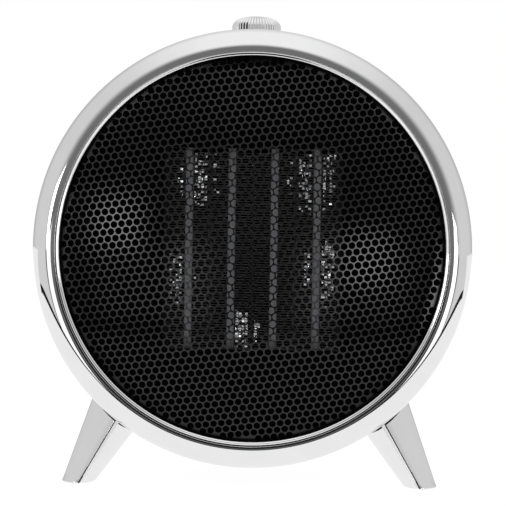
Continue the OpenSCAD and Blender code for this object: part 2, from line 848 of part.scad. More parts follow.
module control_knob() {
  hollow_h = bush_out - knob_gap + 1;
  flat = spindle_r * 0.6 + turn_gap;
  color("gainsboro") on_top() translate([0, 0, knob_gap]) difference() {
    rotate_extrude($fn = 180) knob_profile();
    rod(9.6, -1, hollow_h);
    difference() {
      rod(spindle_r + turn_gap, hollow_h - 1, spindle_out - knob_gap + 0.2);
      translate([-2 * spindle_r, flat, hollow_h]) cube([4 * spindle_r, 2 * spindle_r, knob_h]);
    }
    for (k = [0:groove_count - 1]) rotate([0, 0, k * 360 / groove_count])
      translate([knob_d / 2 + groove_r * 0.3, 0, 0.8]) cylinder(r = groove_r, h = knob_h, $fn = 20);
  }
}

module thermal_cutout() {
  color("silver") in_drum() translate([bar_spacing, duct_top_y, block_mid_z]) rotate([-90, 0, 0]) {
    rod(8, 0, 1.2);
    rod(6.5, 1, 6);
    block([0, 0, 3], [5, 17, 0.8]);
  }
}

module thermal_fuse() {
  color("tan") in_drum() translate([-bar_spacing, duct_top_y + 2, block_mid_z]) rotate([0, 90, 0]) {
    rod(2, -6, 6);
    rod(0.5, -9, 9);
  }
}

module tilt_bracket() {
  stop_x = tilt_arm * sin(tilt_range) + tilt_weight_r + 0.3 + tilt_pin_r;
  stop_y = -tilt_arm * cos(tilt_range);
  base_z = plate_back_z - 2;
  color("silver") in_drum() translate([tilt_x, tilt_pin_y, 0]) {
    translate([0, -tilt_arm / 2 - 1, plate_back_z - 1])
      cube([2 * stop_x + 4, tilt_arm + 12, 2], center = true);
    rod(tilt_pin_r, base_z - 10, plate_back_z);
    rod(tilt_pin_r + 1, base_z - 11, base_z - 10);
    for (x = [-stop_x, stop_x]) translate([x, stop_y, 0]) rod(tilt_pin_r, base_z - 10, plate_back_z);
  }
}

module tilt_pendulum() {
  front = plate_back_z - 2.6;
  color("goldenrod") in_drum() translate([tilt_x, tilt_pin_y, 0]) difference() {
    union() {
      rod(4, front - 4, front);
      block([0, -tilt_arm / 2, front - 2], [4, tilt_arm, 4]);
      block([0, 3, front - 2], [3, 5.6, 4]);
      translate([0, -tilt_arm, 0]) rod(tilt_weight_r, front - 8, front);
    }
    rod(tilt_pin_r + turn_gap, front - 9, front + 1);
  }
}

module tilt_switch() {
  low = tilt_pin_y + 7.6;
  color("black") in_drum() {
    translate([tilt_x - 10, low, plate_back_z - 6.5]) cube([20, 9, 6.5]);
    translate([tilt_x, low - 1.2, plate_back_z - 4.6]) rotate([-90, 0, 0]) rod(1, 0, 2);
  }
}

module terminal_block() {
  color("ivory") in_drum() difference() {
    block([0, terminal_y, plate_back_z - terminal_t / 2], [terminal_w, terminal_h, terminal_t]);
    for (x = [-terminal_x, terminal_x]) {
      translate([x, terminal_y, 0]) rod(2, plate_back_z - terminal_t - 1, plate_back_z - 5);
      translate([x, terminal_y, plate_back_z - terminal_t / 2]) rotate([90, 0, 0])
        rod(1.6, -terminal_h / 2 - 1, terminal_h / 2 + 1);
    }
  }
}

// Points of a smooth curve through a route, some to each of its stretches
function curve_point(a, b, c, d, t) =
  0.5 * (2 * b + (c - a) * t + (2 * a - 5 * b + 4 * c - d) * t * t + (3 * b - a - 3 * c + d) * t * t * t);

function smooth(route, steps) = let (last = len(route) - 1) concat(
  [for (i = [0:last - 1], k = [0:steps - 1])
    curve_point(route[max(i - 1, 0)], route[i], route[i + 1], route[min(i + 2, last)], k / steps)],
  [route[last]]);

function unit(v) = v / norm(v);

// A round wire swept along a route, as one closed mesh
module wire(route) {
  sides = 8;
  path = smooth(route, 3);
  last = len(path) - 1;
  dirs = [for (i = [0:last]) unit(path[min(i + 1, last)] - path[max(i - 1, 0)])];
  points = [for (i = [0:last]) let (
      side = unit(cross(dirs[i], [0.31, 0.22, 0.92])),
      up = cross(side, dirs[i]))
    for (k = [0:sides - 1]) path[i] + wire_r * (side * cos(k * 360 / sides) + up * sin(k * 360 / sides))];
  walls = [for (i = [0:last - 1], k = [0:sides - 1]) let (n = (k + 1) % sides)
    each [[i * sides + k, i * sides + n, (i + 1) * sides + n],
      [i * sides + k, (i + 1) * sides + n, (i + 1) * sides + k]]];
  caps = [[for (k = [sides - 1:-1:0]) k], [for (k = [0:sides - 1]) last * sides + k]];
  polyhedron(points, concat(walls, caps));
}

module inner_wires() {
  color("firebrick") in_drum() {
    wire(line_route);
    wire(neutral_route);
    wire(heater_left_route);
    wire(heater_right_route);
    wire(motor_route);
  }
}

front_ring();
grille();
drum_shell();
back_cover();
control_knob();
leg_front_left();
leg_front_right();
leg_back_left();
leg_back_right();
foot_pads();
leg_screws();
ring_screw();
cover_screws();
cord_gland();
gland_nut();
baffle_duct();
fan_housing();
duct_screws();
end_cap_top();
end_cap_bottom();
side_plate_left();
side_plate_right();
bar_1();
bar_2();
bar_3();
bar_4();
ceramic_stones();
fin_1();
fin_2();
fin_3();
fin_4();
fin_5();
fin_6();
fin_7();
fin_8();
divider_1();
divider_2();
divider_3();
bar_tabs();
block_screws();
fan_impeller();
fan_clip();
motor_shaft();
motor_rotor();
motor_stack();
motor_coil();
motor_bracket_front();
motor_bracket_back();
motor_bushes();
motor_screws();
rotary_switch();
switch_spindle();
switch_nut();
thermal_cutout();
thermal_fuse();
tilt_bracket();
tilt_pendulum();
tilt_switch();
terminal_block();
inner_wires();
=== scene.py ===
"""Dresses a small round ceramic fan heater and sets up the studio that it stands in."""
import json
import math
import random

import bpy
from bpy.props import FloatProperty, FloatVectorProperty, IntProperty, PointerProperty
from mathutils import Matrix, Quaternion, Vector


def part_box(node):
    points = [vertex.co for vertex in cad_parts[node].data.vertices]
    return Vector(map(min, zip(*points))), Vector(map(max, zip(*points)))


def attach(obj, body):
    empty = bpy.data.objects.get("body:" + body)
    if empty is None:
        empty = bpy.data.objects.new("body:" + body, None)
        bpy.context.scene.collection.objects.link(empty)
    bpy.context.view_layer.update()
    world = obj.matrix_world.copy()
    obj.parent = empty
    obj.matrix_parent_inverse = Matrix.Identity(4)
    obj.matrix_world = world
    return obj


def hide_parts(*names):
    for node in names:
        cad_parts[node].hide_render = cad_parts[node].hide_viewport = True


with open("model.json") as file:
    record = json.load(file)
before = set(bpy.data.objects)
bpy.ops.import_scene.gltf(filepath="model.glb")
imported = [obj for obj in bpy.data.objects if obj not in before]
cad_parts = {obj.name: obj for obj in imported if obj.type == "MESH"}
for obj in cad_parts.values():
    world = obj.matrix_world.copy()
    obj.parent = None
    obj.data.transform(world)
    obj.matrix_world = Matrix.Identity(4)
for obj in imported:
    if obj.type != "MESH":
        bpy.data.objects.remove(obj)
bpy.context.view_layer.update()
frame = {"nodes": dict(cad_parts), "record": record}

bl_info = {
    "name": "Ceramic heater",
    "version": (1, 0, 0),
    "blender": (4, 5, 0),
    "location": "3D View > Sidebar > Heater",
    "description": "Builds the visible pieces of a round ceramic fan heater and its studio",
    "category": "Object",
}

MM = 0.001
NOISE_RANGE = (0.3, 0.7)  # where most of a noise's values lie


# Places taken from the frame, in metres

RING_LOW, RING_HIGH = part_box("front_ring")
SHELL_LOW, SHELL_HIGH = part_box("drum_shell")
GRILLE_LOW, GRILLE_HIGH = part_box("grille")
KNOB_LOW, KNOB_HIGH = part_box("control_knob")
BLOCK_LOW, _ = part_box("fin_1")
FRONT_Y = RING_LOW.y
AXIS_H = (RING_LOW.z + RING_HIGH.z) / 2
RING_R = (RING_HIGH.x - RING_LOW.x) / 2
SHELL_R = (SHELL_HIGH.x - SHELL_LOW.x) / 2
SEAT_Y = GRILLE_HIGH.y - 0.8 * MM
KNOB_AXIS = Vector(((KNOB_LOW.x + KNOB_HIGH.x) / 2, (KNOB_LOW.y + KNOB_HIGH.y) / 2, KNOB_LOW.z))


def in_drum(right, up, forward):
    """A point given in the drum's own frame: to the right, up, and forward of the ring's front."""
    return Vector((right, FRONT_Y - forward, AXIS_H + up))


def direction(bearing, height):
    """The way to a place in front: its bearing to the right, and its height above level."""
    return Vector((math.sin(bearing) * math.cos(height), -math.cos(bearing) * math.cos(height),
                   math.sin(height)))


def linear(hex_colour):
    """Turns an sRGB colour such as #CCCCCC into Blender's linear values."""
    parts = [int(hex_colour[i:i + 2], 16) / 255 for i in (1, 3, 5)]
    return [p / 12.92 if p <= 0.04045 else ((p + 0.055) / 1.055) ** 2.4 for p in parts]


# Where the fins are pressed flat: right, up, half the width and height in mm, and share pressed
PRESSED = (
    (-29, 38, 10, 15, 0.5),
    (33, 36, 14, 16, 0.45),
    (-40, -15, 8, 13, 0.45),
    (37, -12, 9, 16, 0.5),
    (-4, -42, 8, 9, 0.85),
)


# Sizes and colours that a user would change


class RingSizes(bpy.types.PropertyGroup):
    wall: FloatProperty(
        name="Wall", description="Wall of the rolled ring", default=2.4 * MM, unit="LENGTH")
    crown: FloatProperty(
        name="Crown radius", description="Radius of the ring's rounded front", default=10.7 * MM,
        unit="LENGTH")
    face: FloatProperty(
        name="Flat face", description="Width of the flat between the crown and the inner edge",
        default=1.8 * MM, unit="LENGTH")
    lip: FloatProperty(
        name="Lip radius", description="Rounding of the ring's inner edge", default=0.2 * MM,
        unit="LENGTH")
    dip: FloatProperty(
        name="Dip", description="How far the flat face leans back towards its inner edge",
        default=0.082 * MM, unit="LENGTH")
    bead: FloatProperty(
        name="Bead", description="Radius of the rolled bead that holds the grille",
        default=1.3 * MM, unit="LENGTH")
    steps: IntProperty(
        name="Steps", description="Faces round the ring", default=360, min=48)


class GrilleSizes(bpy.types.PropertyGroup):
    pitch: FloatProperty(
        name="Hole spacing", description="Distance from hole to hole", default=4.1 * MM,
        unit="LENGTH")
    hole: FloatProperty(
        name="Hole diameter", description="Diameter of a punched hole", default=3.56 * MM,
        unit="LENGTH")
    turn: FloatProperty(
        name="Turn", description="Turn of the rows of holes from level",
        default=math.radians(7.5), subtype="ANGLE")
    border: FloatProperty(
        name="Plain border", description="Sheet without holes along the edge", default=1.3 * MM,
        unit="LENGTH")
    inset: FloatProperty(
        name="Inset", description="From the ring's outside to the foot of the dome",
        default=12.3 * MM, unit="LENGTH")
    dome: FloatProperty(
        name="Dome radius", description="Radius of the dome", default=370 * MM, unit="LENGTH")
    thickness: FloatProperty(
        name="Sheet", description="Thickness of the sheet", default=0.8 * MM, unit="LENGTH")
    edge: FloatProperty(
        name="Edge", description="Rounding of a hole's edge by the enamel", default=0.08 * MM,
        unit="LENGTH")


class FinSizes(bpy.types.PropertyGroup):
    spacing: FloatProperty(
        name="Wall spacing", description="Distance from one wall of the folded strip to the next",
        default=1.33 * MM, unit="LENGTH")
    strip: FloatProperty(
        name="Strip", description="Thickness of the strip", default=0.3 * MM, unit="LENGTH")
    flap: FloatProperty(
        name="Flap", description="Width of a place where the strip is pressed flat",
        default=1.7 * MM, unit="LENGTH")
    skew: FloatProperty(
        name="Skew", description="How far the walls climb from front to back",
        default=2.2 * MM, unit="LENGTH")


class KnobSizes(bpy.types.PropertyGroup):
    grooves: IntProperty(
        name="Grooves", description="Number of grooves round the knob", default=48, min=8)
    depth: FloatProperty(
        name="Groove depth", description="Depth of a groove", default=0.45 * MM, unit="LENGTH")
    shoulder: FloatProperty(
        name="Shoulder width", description="How far in the knob's shoulder reaches",
        default=8.6 * MM, unit="LENGTH")
    drop: FloatProperty(
        name="Shoulder height", description="Height of the knob's shoulder", default=5.6 * MM,
        unit="LENGTH")


class LegSizes(bpy.types.PropertyGroup):
    top: FloatProperty(
        name="Top diameter", description="Diameter of a leg at the drum", default=31.2 * MM,
        unit="LENGTH")
    foot: FloatProperty(
        name="Foot diameter", description="Diameter of a leg at the floor", default=15.6 * MM,
        unit="LENGTH")
    edge: FloatProperty(
        name="Edge", description="Rounding of the lower edge", default=0.9 * MM, unit="LENGTH")
    ridge: FloatProperty(
        name="Ridge", description="Bearing of the ridge from the leg's front, outwards",
        default=math.radians(-23), subtype="ANGLE")
    flat: FloatProperty(
        name="Flat", description="Share by which the sides are flattened beside the ridge",
        default=0.55, subtype="FACTOR")
    # The seam is a painted dark line, a painted reflection beside the ridge
    seam: FloatProperty(
        name="Seam", description="Width of the seam beside the ridge", default=0.6 * MM,
        unit="LENGTH")
    satin: FloatProperty(
        name="Satin band", description="Width of the burnished band over the ridge",
        default=1.9 * MM, unit="LENGTH")
    place: FloatProperty(
        name="Place", description="Where a leg meets the drum, round from the drum's lowest line",
        default=math.radians(39.6), subtype="ANGLE")
    splay: FloatProperty(
        name="Splay", description="Lean of a leg to its side", default=math.radians(28),
        subtype="ANGLE")
    rake: FloatProperty(
        name="Rake", description="Lean of a leg to the front or back", default=math.radians(10),
        subtype="ANGLE")
    front_root: FloatProperty(
        name="Front pair", description="From the ring's front to the front legs' axes",
        default=43 * MM, unit="LENGTH")
    back_root: FloatProperty(
        name="Back pair", description="From the ring's front to the back legs' axes",
        default=86 * MM, unit="LENGTH")


class StudioSettings(bpy.types.PropertyGroup):
    distance: FloatProperty(
        name="Distance", description="From the ring to the camera", default=0.78, unit="LENGTH")
    azimuth: FloatProperty(
        name="Azimuth", description="Turn of the camera to the right", default=math.radians(0.5),
        subtype="ANGLE")
    elevation: FloatProperty(
        name="Elevation", description="Height of the camera above level", default=math.radians(2),
        subtype="ANGLE")
    roll: FloatProperty(
        name="Roll", description="Lean of the picture to the right", default=math.radians(0.9),
        subtype="ANGLE")
    lens: FloatProperty(
        name="Lens", description="Focal length", default=107.15, subtype="DISTANCE_CAMERA")
    floor_white: FloatVectorProperty(
        name="Floor", description="Colour of the floor", size=3, subtype="COLOR",
        default=linear("#F2F2F2"))
    room: FloatProperty(
        name="Room light", description="Strength of the even light of the room", default=0.8)
    lamp: FloatProperty(
        name="Lamps", description="Brightness of the two front lamps", default=12.0)


# Meshes


def new_object(name, verts, faces, materials, smooth_angle=35, face_materials=None):
    """Makes an object from points and faces, smooth except across corners over the given angle."""
    mesh = bpy.data.meshes.new(name)
    mesh.from_pydata(verts, [], faces)
    for material in materials:
        mesh.materials.append(material)
    if face_materials:
        mesh.polygons.foreach_set("material_index", face_materials)
    mesh.polygons.foreach_set("use_smooth", [True] * len(mesh.polygons))
    mesh.update()
    mesh.set_sharp_from_angle(angle=math.radians(smooth_angle))
    piece = bpy.data.objects.new(name, mesh)
    bpy.context.scene.collection.objects.link(piece)
    return piece


def arc(centre, radius, from_deg, to_deg, count):
    """Points of an arc in a profile, both ends included."""
    angles = [math.radians(from_deg + (to_deg - from_deg) * i / count) for i in range(count + 1)]
    return [(centre[0] + radius * math.cos(a), centre[1] + radius * math.sin(a)) for a in angles]


def line(start, end, count):
    """Points between two corners of a profile, the corners left out."""
    return [tuple(a + (b - a) * i / count for a, b in zip(start, end)) for i in range(1, count)]


def round_faces(columns, points, closed=False):
    """Faces between neighbouring columns of points that stand in a circle."""
    faces = []
    for i in range(columns):
        j = (i + 1) % columns
        for k in range(points if closed else points - 1):
            m = (k + 1) % points
            faces.append((i * points + k, i * points + m, j * points + m, j * points + k))
    return faces


def finish_piece(piece, body, slot, *nodes):
    """Lets a new piece stand for its nodes, on its body; its slot is not used."""
    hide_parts(*nodes)
    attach(piece, body)


# Materials


def fill(node, inputs):
    """Gives a node's inputs, by name or number, a value or a link."""
    for name, value in inputs.items():
        if isinstance(value, bpy.types.NodeSocket):
            node.id_data.links.new(value, node.inputs[name])
        else:
            node.inputs[name].default_value = value


def add(tree, kind, *values, **settings):
    """Adds a node with its inputs, in order or by name, and gives its first output if any."""
    node = tree.nodes.new("ShaderNode" + kind)
    for name, value in settings.items():
        setattr(node, name, value)
    named = bool(values) and isinstance(values[0], dict)
    fill(node, values[0] if named else dict(enumerate(values)))
    return node.outputs[0] if node.outputs else node


def new_material(name, **values):
    """A material with its plain values, and the tree and shader that go on from there."""
    material = bpy.data.materials.new(name)
    material.use_nodes = True
    tree = material.node_tree
    shader = tree.nodes["Principled BSDF"]
    fill(shader, {socket.replace("_", " "): value for socket, value in values.items()})
    return material, tree, shader


def pattern(tree, size_mm, detail=3.0, roughness=0.5, stretch=None):
    """Clouds or grain whose blobs are about size_mm across, stretched along an axis if asked."""
    place = add(tree, "TexCoord").node.outputs["Object"]
    if stretch:
        place = add(tree, "Mapping", {"Vector": place, "Scale": stretch})
    return add(tree, "TexNoise", {
        "Vector": place, "Scale": 1 / (size_mm * MM), "Detail": detail, "Roughness": roughness})


def place_of(tree):
    """The x, y and z of a point on a piece."""
    return add(tree, "SeparateXYZ", add(tree, "TexCoord").node.outputs["Object"]).node.outputs


def distance(tree, across, up):
    """How far a point with these two coordinates lies from the origin."""
    squares = [add(tree, "Math", part, 2.0, operation="POWER") for part in (across, up)]
    return add(tree, "Math", add(tree, "Math", *squares, operation="ADD"), operation="SQRT")


def from_drum_axis(tree):
    """How far a point on a piece lies from the drum's axis."""
    x, _, z = place_of(tree)
    return distance(tree, x, add(tree, "Math", z, AXIS_H, operation="SUBTRACT"))


def zone(tree, *edges):
    """1 where each value is past its soft edge, else 0; an edge is (value, last 0, first 1)."""
    inside = 1.0
    for value, outer, inner in edges:
        past = add(tree, "MapRange", value, outer, inner, interpolation_type="SMOOTHSTEP")
        inside = add(tree, "Math", inside, past, operation="MULTIPLY")
    return inside


def mix(tree, factor, first, second):
    """Goes from the first value to the second as the factor goes from 0 to 1."""
    rest = add(tree, "Math", 1.0, factor, operation="SUBTRACT")
    shares = [add(tree, "Math", first, rest, operation="MULTIPLY"),
              add(tree, "Math", second, factor, operation="MULTIPLY")]
    return add(tree, "Math", *shares, operation="ADD")


def surface(material, tone, colours, gloss, roughness, relief, depth_mm, gloss_range=NOISE_RANGE):
    """Mixes two colours by one pattern, two roughnesses by another, and raises it by a third."""
    tree = material.node_tree
    colour = add(tree, "ValToRGB", tone)
    for element, hex_colour in zip(colour.node.color_ramp.elements, colours):
        element.color = linear(hex_colour) + [1.0]
    fill(tree.nodes["Principled BSDF"], {
        "Base Color": colour,
        "Roughness": add(tree, "MapRange", gloss, *gloss_range, *roughness),
        "Normal": add(tree, "Bump", {"Height": relief, "Distance": depth_mm * MM}),
    })
    return material


def knob_plate():
    """Plating on a grooved plastic knob: bright ridges, duller and darker down in the grooves, and
    painted shade low on its front.
    """
    material, tree, shader = new_material("Chrome plate, on moulded knob", Metallic=1.0)
    x, y, z = place_of(tree)
    angle = add(tree, "Math", add(tree, "Math", y, KNOB_AXIS.y, operation="SUBTRACT"),
                add(tree, "Math", x, KNOB_AXIS.x, operation="SUBTRACT"), operation="ARCTAN2")
    per_radian = bpy.context.scene.heater_knob.grooves / (2 * math.pi)
    turns = add(tree, "Math", angle, per_radian, operation="MULTIPLY")
    part = add(tree, "Math", turns, operation="FRACT")
    off_centre = add(tree, "Math", part, 0.5, operation="SUBTRACT")
    groove = zone(tree, (add(tree, "Math", off_centre, operation="ABSOLUTE"), 0.14, 0.34))
    # Painted shade: the grooves low on the knob's front, to the left of the middle, are painted
    # nearly black and the ridges there a little darker
    degrees = add(tree, "Math", angle, operation="DEGREES")
    bearing = add(tree, "Math", degrees, 90.0, operation="ADD")
    top = KNOB_HIGH.z
    painted_shade = zone(tree, (bearing, -50.0, -42.0), (bearing, -16.0, -22.0),
                  (z, top - 3.4 * MM, top - 4.6 * MM))
    # Both colours take the painted shade in that patch
    ridges, grooves = mix(tree, painted_shade, 0.92, 0.85), mix(tree, painted_shade, 0.8, 0.004)
    haze = pattern(tree, 6)
    plain = add(tree, "MapRange", haze, *NOISE_RANGE, 0.04, 0.08)
    fill(shader, {
        "Base Color": mix(tree, groove, ridges, grooves),
        "Roughness": mix(tree, groove, plain, 0.3),
        "Normal": add(tree, "Bump", {"Height": haze, "Distance": 0.002 * MM}),
    })
    return material


def chrome_plate(name="Chrome plate, polished"):
    """Bright nickel and chrome plate on polished steel: a mirror with a trace of polishing haze."""
    material, tree, _ = new_material(name, Metallic=1.0)
    haze = pattern(tree, 14, detail=4)
    fine = pattern(tree, 0.5, detail=2)
    return surface(material, haze, ("#E9E9EA", "#F1F1F2"), haze, (0.02, 0.05), fine, 0.0004)


def leg_plate():
    """The same plate, with a black line painted where the leg enters the drum: painted shadow of
    the gap there.
    """
    material = chrome_plate("Chrome plate, on drawn legs")
    tree = material.node_tree
    shader = tree.nodes["Principled BSDF"]
    wander = add(tree, "Math", pattern(tree, 5), 0.6 * MM, operation="MULTIPLY")
    edge = add(tree, "Math", from_drum_axis(tree), wander, operation="ADD")
    # Painted shadow: within this distance of the drum's axis the plate is painted near black
    shadow_line_r = RING_R + 4.4 * MM
    bare = zone(tree, (edge, shadow_line_r, shadow_line_r + 0.3 * MM))
    plate = shader.inputs["Base Color"].links[0].from_socket
    fill(shader, {"Base Color": mix(tree, bare, 0.01, plate)})
    return material


def satin_plate():
    """The ridge of a leg, rubbed along its length: it scatters the lamps into a white band."""
    material, tree, _ = new_material("Chrome plate, burnished satin", Metallic=1.0)
    rubbed = pattern(tree, 0.5, stretch=(1.0, 1.0, 8.0))
    return surface(material, rubbed, ("#F2F2F3", "#F8F8F8"), rubbed, (0.42, 0.5), rubbed, 0.003)


def seam_shadow():
    """The narrow seam between the two halves of a leg, painted dark: a painted reflection of the
    dark line along the rounded ridge.
    """
    material, tree, _ = new_material("Painted reflection, dark line in the seam", Metallic=0.6)
    shade_mottle = pattern(tree, 1.0)
    return surface(material, shade_mottle, ("#1C1C1E", "#3A3A3C"), shade_mottle, (0.35, 0.6), shade_mottle, 0.02)


def enamelled_sheet():
    """Punched steel under sprayed enamel: black with a soft sheen, and its sheen taken away along
    its rim as painted shade.
    """
    material, tree, shader = new_material("Stove enamel, black, semi-gloss")
    peel = pattern(tree, 1.2, detail=2)
    cloud = pattern(tree, 30)
    # Painted shade: along the rim, down in the ring's recess, the sheet is given almost no sheen
    shaded_rim_r = RING_R - 16.4 * MM
    rim = zone(tree, (from_drum_axis(tree), shaded_rim_r, shaded_rim_r + 1.6 * MM))
    fill(shader, {"Specular IOR Level": mix(tree, rim, 0.5, 0.03)})
    return surface(material, cloud, ("#040404", "#070708"), cloud, (0.13, 0.18), peel, 0.006)


def gloss_enamel():
    """Rolled steel sheet under gloss enamel: deep black, sharp reflections, slight orange peel."""
    material, tree, _ = new_material("Enamel, black, gloss", Coat_Weight=0.6, Coat_Roughness=0.06)
    peel = pattern(tree, 2.5, detail=2)
    dust = pattern(tree, 40, detail=6, roughness=0.6)
    return surface(material, dust, ("#0B0B0C", "#131315"), dust, (0.18, 0.3), peel, 0.01)


def moulded_plastic(name, dark, light, rough_low=0.42, rough_high=0.56, sheen=0.5):
    """Injection-moulded plastic from a spark-eroded tool: a fine grain that breaks up gloss."""
    material, tree, _ = new_material(name, IOR=1.53, Specular_IOR_Level=sheen)
    cloud = pattern(tree, 25, detail=4)
    grain = pattern(tree, 0.6, roughness=0.6)
    return surface(material, cloud, (dark, light), grain, (rough_low, rough_high), grain, 0.02)


def rolled_metal(name, dark, light, rough_low, rough_high):
    """Rolled or drawn metal: its grain runs one way and spreads the gloss along it."""
    material, tree, _ = new_material(name, Metallic=1.0)
    cloud = pattern(tree, 12, detail=4)
    lines = pattern(tree, 0.4, detail=2, stretch=(1.0, 1.0, 12.0))
    return surface(material, cloud, (dark, light), lines, (rough_low, rough_high), lines, 0.004)


def fin_strip():
    """Thin strip, painted near black and without gloss behind its front edges as painted shade down
    the channels: only its sheared front edges shine.
    """
    material, tree, shader = new_material(
        "Aluminium strip, sheared and folded", Specular_IOR_Level=0.0)
    _, y, _ = place_of(tree)
    front = BLOCK_LOW.y
    edge = zone(tree, (y, front + 0.7 * MM, front + 0.1 * MM))
    sheared = mix(tree, pattern(tree, 1.5), 0.02, 0.15)
    fill(shader, {
        # Painted shade: the walls behind the front edges are near black, not metal
        "Base Color": mix(tree, edge, 0.001, sheared),
        "Metallic": edge,
        "Roughness": add(tree, "MapRange", pattern(tree, 0.8), *NOISE_RANGE, 0.4, 0.6),
        "Normal": add(tree, "Bump", {
            "Height": pattern(tree, 0.6), "Distance": 0.02 * MM}),
    })
    return material


def flattened_strip():
    """Where something has brushed the fins, their edges lie flat and bare, and catch the light."""
    material, tree, _ = new_material("Aluminium strip, pressed flat", Metallic=1.0)
    scuff = pattern(tree, 0.7)
    return surface(material, scuff, ("#C9CACC", "#F0F1F2"), scuff, (0.12, 0.3), scuff, 0.03)


def zinc_plate(name="Zinc plate, bright"):
    """Bright zinc on pressed steel: silver with faint blue and straw clouds."""
    material, tree, _ = new_material(name, Metallic=1.0)
    cloud = pattern(tree, 7)
    fine = pattern(tree, 0.4)
    return surface(material, cloud, ("#B9BCC2", "#CFC9B4"), cloud, (0.22, 0.38), fine, 0.003)


def layers(tree, layer_mm, distortion, **settings):
    """Bands, each as wide as a layer: at scale 1 the node's bands are 2 pi / 20 apart."""
    waves = 2 * math.pi / (20 * layer_mm * MM)
    return add(tree, "TexWave", {
        "Vector": add(tree, "TexCoord").node.outputs["Object"], "Scale": waves,
        "Distortion": distortion}, **settings).node.outputs["Fac"]


def core_plates():
    """The motor's core is a pile of 0.5 mm sheets, so its sides show fine dark lines."""
    material, tree, _ = new_material("Silicon steel sheets, stacked", Metallic=1.0)
    lines = layers(tree, 0.5, 0.0, bands_direction="Y")
    dull = pattern(tree, 3)
    return surface(material, lines, ("#4C4D50", "#8B8D90"), dull, (0.35, 0.55), lines, 0.03)


def heating_ceramic():
    """Sintered heating stones: grey-brown, matt, with a grain from the pressed powder."""
    material, tree, _ = new_material("Barium titanate ceramic, sintered")
    grain = pattern(tree, 0.5, detail=5)
    return surface(material, grain, ("#6B6560", "#8A837C"), grain, (0.6, 0.8), grain, 0.02)


def rubber(name, dark, light):
    """Moulded rubber or silicone: no gloss to speak of, with a soft bloom."""
    material, tree, _ = new_material(name)
    bloom = pattern(tree, 5, detail=4)
    fine = pattern(tree, 0.4)
    return surface(material, bloom, (dark, light), bloom, (0.6, 0.78), fine, 0.01)


def wound_tape():
    """The winding is wrapped in amber tape whose turns overlap every 6 mm."""
    material, tree, _ = new_material("Polyester tape, wound")
    turns = layers(tree, 6.0, 0.4, wave_profile="SAW")
    return surface(material, turns, ("#B98A2E", "#D3A84A"), turns, (0.3, 0.45), turns, 0.06,
                   gloss_range=(0.0, 1.0))


def node_materials():
    """The finish of each slot of the record, by slot."""
    return {
        "drum_paint": gloss_enamel(),
        "cover_plastic": moulded_plastic("ABS, black, moulded", "#101011", "#19191A"),
        "pad_rubber": rubber("Rubber, grey, moulded", "#8A8A8A", "#9B9B9B"),
        "screw_steel": zinc_plate("Screw steel, zinc plated"),
        "gland_nylon": moulded_plastic("Nylon, black, moulded", "#0E0E0F", "#171718", 0.35, 0.45),
        # Painted shade: the duct behind the grille is near black and almost without sheen, standing
        # in for the grille's shadow
        "duct_plastic": moulded_plastic("PBT, glass filled, black", "#010101", "#030303", 0.6, 0.8,
            sheen=0.03),
        "cap_plastic": moulded_plastic("PPS, heat resistant, moulded", "#3A3733", "#4A4640"),
        # Painted shade: this aluminium is darkened for the shade it lies in behind the grille
        "aluminium": rolled_metal("Aluminium, extruded, darkened as painted shade", "#7A7B7F", "#8A8B8F",
            0.4, 0.55),
        "heating_ceramic": heating_ceramic(),
        "brass_tab": rolled_metal("Brass, stamped", "#B89448", "#D4B36A", 0.25, 0.4),
        "brass_weight": rolled_metal("Brass, turned", "#A88743", "#C9A65C", 0.2, 0.35),
        "fan_plastic": moulded_plastic("Nylon, glass filled, black", "#111112", "#1C1C1E"),
        "spring_steel": rolled_metal("Spring steel, blued", "#5A5D66", "#7B7E86", 0.3, 0.45),
        "shaft_steel": rolled_metal("Steel, ground", "#A7A9AC", "#CACBCD", 0.12, 0.25),
        "core_steel": core_plates(),
        "winding_tape": wound_tape(),
        "zinc_bracket": zinc_plate(),
        "bush_bronze": rolled_metal("Bronze, sintered", "#7E5B3A", "#9C774F", 0.4, 0.55),
        "switch_plastic": moulded_plastic("Phenolic, black, moulded", "#0E0D0D", "#1B1918"),
        "cutout_metal": rolled_metal("Aluminium, pressed", "#ABACAE", "#C9CACB", 0.3, 0.45),
        "fuse_body": moulded_plastic("Fuse sleeve, woven glass", "#A9946F", "#C0AC86", 0.6, 0.75),
        "terminal_nylon": moulded_plastic("Nylon, natural, moulded", "#D5D0C0", "#E0DCCE"),
        "wire_cover": rubber("Silicone rubber, red, extruded", "#7E1F1A", "#922A22"),
    }


# Operators, one for each piece or group of like pieces


